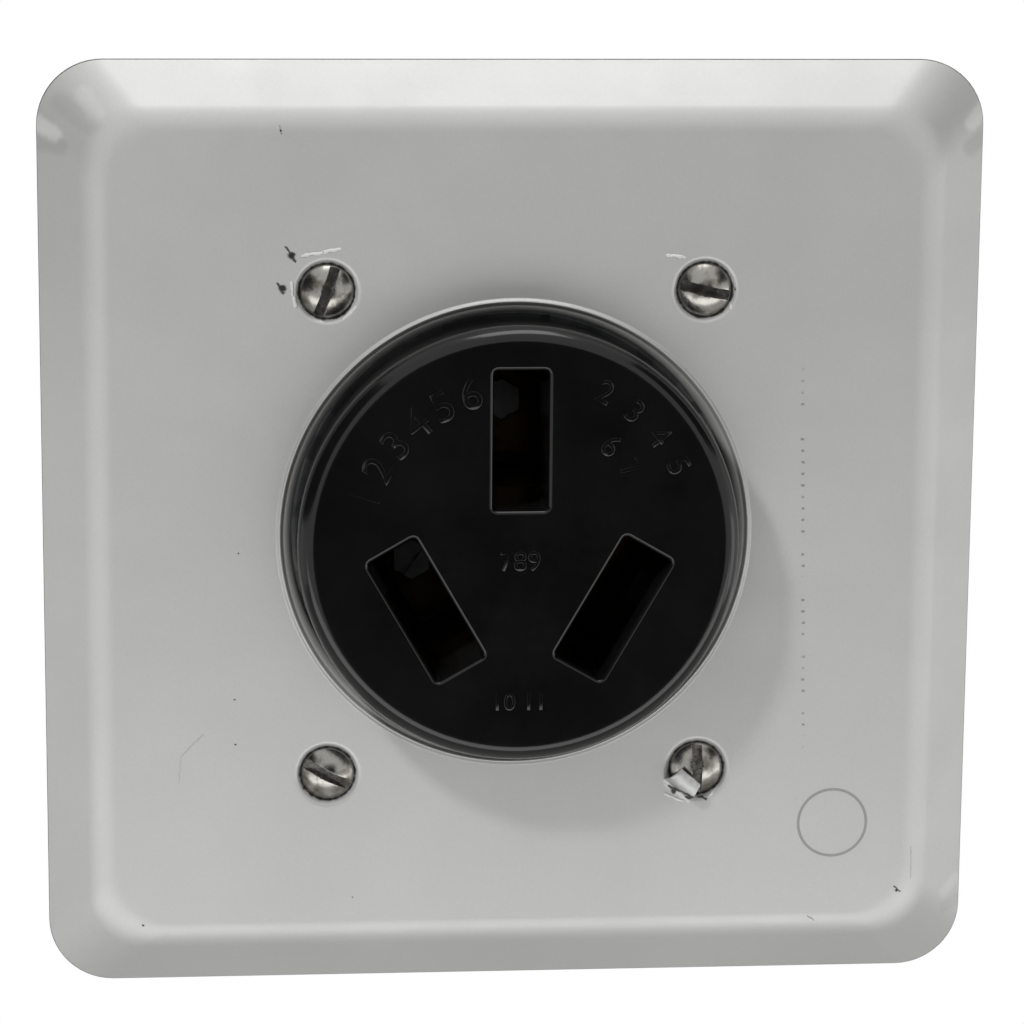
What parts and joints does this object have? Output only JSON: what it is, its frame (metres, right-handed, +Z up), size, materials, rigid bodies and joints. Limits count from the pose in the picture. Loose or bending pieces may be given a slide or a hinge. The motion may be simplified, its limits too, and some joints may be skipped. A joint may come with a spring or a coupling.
{
  "type": "wall socket",
  "caption": "Flush three-phase wall socket: black moulded disc with an upright and two slanted slots, on a square bevelled metal plate with oval-head screws.",
  "frame": {"origin": "middle of the four box-screw slots of the mounting strap, on its back face, which is the wall plane", "axes": "+Y into the wall along the box screws, so the socket faces -Y; +Z up; +X to the right as seen from the front"},
  "size_m": [0.1156, 0.0515, 0.1156],
  "materials": {
    "plate": "satin, pressed sheet",
    "plate_screw": "nickel plated",
    "strap": "zinc plated",
    "face": "polished black phenolic",
    "back": "dull black phenolic",
    "insert": "turned",
    "steel_screw": "zinc plated",
    "contact": "rolled",
    "spring_steel": "tempered",
    "bar": "rolled",
    "clamp_block": "machined",
    "shoe": "zinc plated",
    "clamp_screw": "zinc plated"
  },
  "bodies": {
    "socket": {"wall_plate": "plate", "plate_screws": "plate_screw", "mounting_strap": "strap", "face_housing": "face", "face_inserts": "insert", "housing_screws": "steel_screw", "back_housing_top": "back", "back_housing_left": "back", "back_housing_right": "back", "contact_top": "contact", "contact_spring_top": "spring_steel", "terminal_bar_top": "bar", "contact_screw_top": "steel_screw", "terminal_block_top": "clamp_block", "contact_left": "contact", "contact_spring_left": "spring_steel", "terminal_bar_left": "bar", "contact_screw_left": "steel_screw", "terminal_block_left": "clamp_block", "contact_right": "contact", "contact_spring_right": "spring_steel", "terminal_bar_right": "bar", "contact_screw_right": "steel_screw", "terminal_block_right": "clamp_block"},
    "clamp_top": {"wire_clamp_top": "shoe"},
    "screw_top": {"terminal_screw_top": "clamp_screw"},
    "clamp_left": {"wire_clamp_left": "shoe"},
    "screw_left": {"terminal_screw_left": "clamp_screw"},
    "clamp_right": {"wire_clamp_right": "shoe"},
    "screw_right": {"terminal_screw_right": "clamp_screw"}
  },
  "joints": [
    {"name": "clamp_slide_top", "type": "slide", "parent": "socket", "child": "clamp_top", "axis": [0, -1, 0], "range_m": [0, 0.00453]},
    {"name": "screw_turn_top", "type": "hinge", "parent": "clamp_top", "child": "screw_top", "pos_m": [0, 0.03, 0.02825], "axis": [0, -1, 0], "range_deg": [0, 1800]},
    {"name": "clamp_slide_left", "type": "slide", "parent": "socket", "child": "clamp_left", "axis": [0, -1, 0], "range_m": [0, 0.00453]},
    {"name": "screw_turn_left", "type": "hinge", "parent": "clamp_left", "child": "screw_left", "pos_m": [-0.0221, 0.03, -0.01388], "axis": [0, -1, 0], "range_deg": [0, 1800]},
    {"name": "clamp_slide_right", "type": "slide", "parent": "socket", "child": "clamp_right", "axis": [0, -1, 0], "range_m": [0, 0.00453]},
    {"name": "screw_turn_right", "type": "hinge", "parent": "clamp_right", "child": "screw_right", "pos_m": [0.0221, 0.03, -0.01388], "axis": [0, -1, 0], "range_deg": [0, 1800]}
  ],
  "couplings": [
    {"joint": "screw_turn_top", "follows": "clamp_slide_top", "rad_per_m": 6927.4},
    {"joint": "screw_turn_left", "follows": "clamp_slide_left", "rad_per_m": 6927.4},
    {"joint": "screw_turn_right", "follows": "clamp_slide_right", "rad_per_m": 6927.4}
  ]
}
